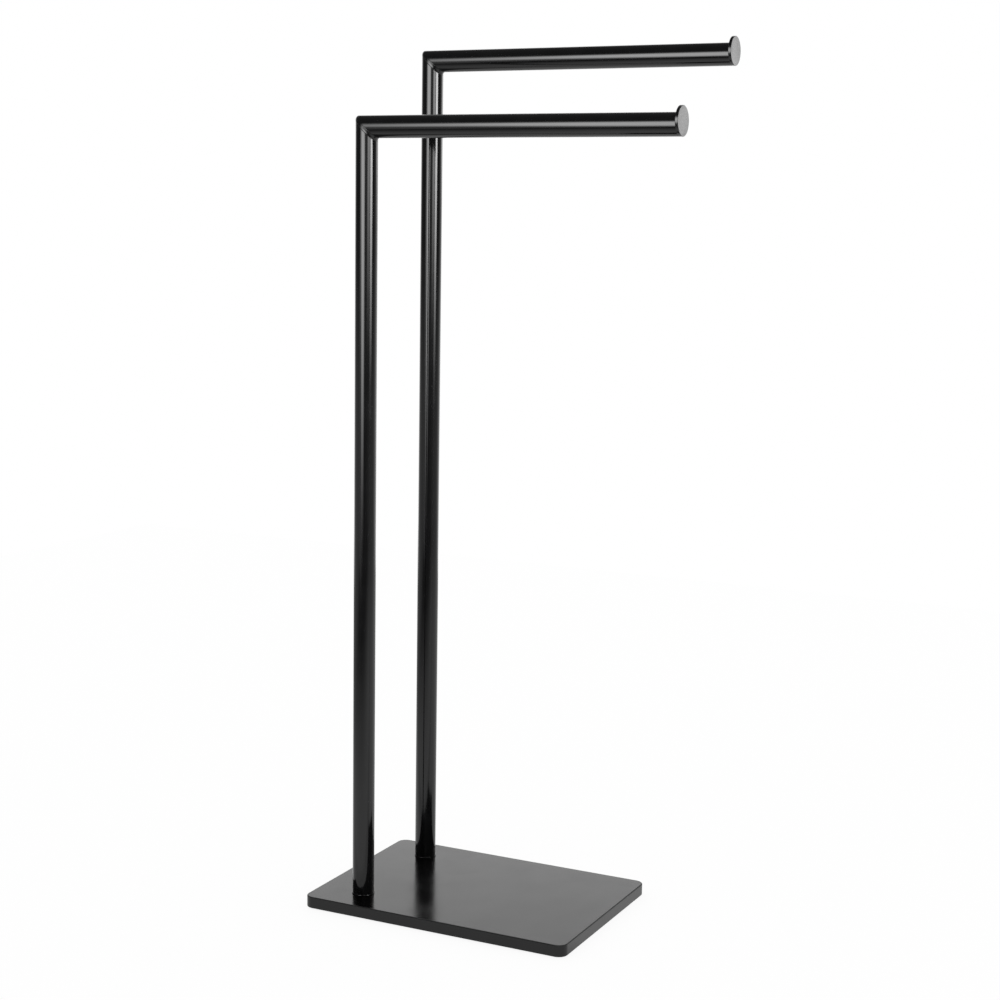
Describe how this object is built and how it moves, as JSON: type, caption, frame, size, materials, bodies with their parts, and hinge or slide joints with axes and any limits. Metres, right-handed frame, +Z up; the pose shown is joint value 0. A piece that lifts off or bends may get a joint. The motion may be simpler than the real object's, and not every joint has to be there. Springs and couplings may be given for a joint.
{
  "type": "freestanding towel stand",
  "caption": "Freestanding towel stand: a flat black base plate with L-shaped frames of round tube at different heights, each arm ending in a stop disc",
  "frame": {"origin": "middle of the footprint's bounding box, on the floor that the rubber feet rest on", "axes": "+X along the arms, from the posts towards the end discs; +Y from the front, lower frame to the rear, taller one; +Z up"},
  "size_m": [0.376, 0.207, 0.876],
  "materials": {
    "plate_coat": "black coat, semi-gloss, on flat steel plate",
    "frame_coat": "black coat, glossy, on round steel tube",
    "disc_coat": "black coat, semi-gloss, on steel disc",
    "zinc_steel": "bright zinc plate",
    "foot_rubber": "matt moulded rubber"
  },
  "bodies": {
    "root": {"base_plate": "plate_coat", "rubber_foot_front_left": "foot_rubber", "rubber_foot_front_right": "foot_rubber", "rubber_foot_rear_left": "foot_rubber", "rubber_foot_rear_right": "foot_rubber", "front_post": "frame_coat", "front_arm": "frame_coat", "front_corner_weld": "frame_coat", "front_end_disc": "disc_coat", "front_foot_ring": "frame_coat", "front_threaded_plug": "zinc_steel", "front_base_bolt": "zinc_steel", "front_spring_washer": "zinc_steel", "rear_post": "frame_coat", "rear_arm": "frame_coat", "rear_corner_weld": "frame_coat", "rear_end_disc": "disc_coat", "rear_foot_ring": "frame_coat", "rear_threaded_plug": "zinc_steel", "rear_base_bolt": "zinc_steel", "rear_spring_washer": "zinc_steel"}
  },
  "joints": []
}
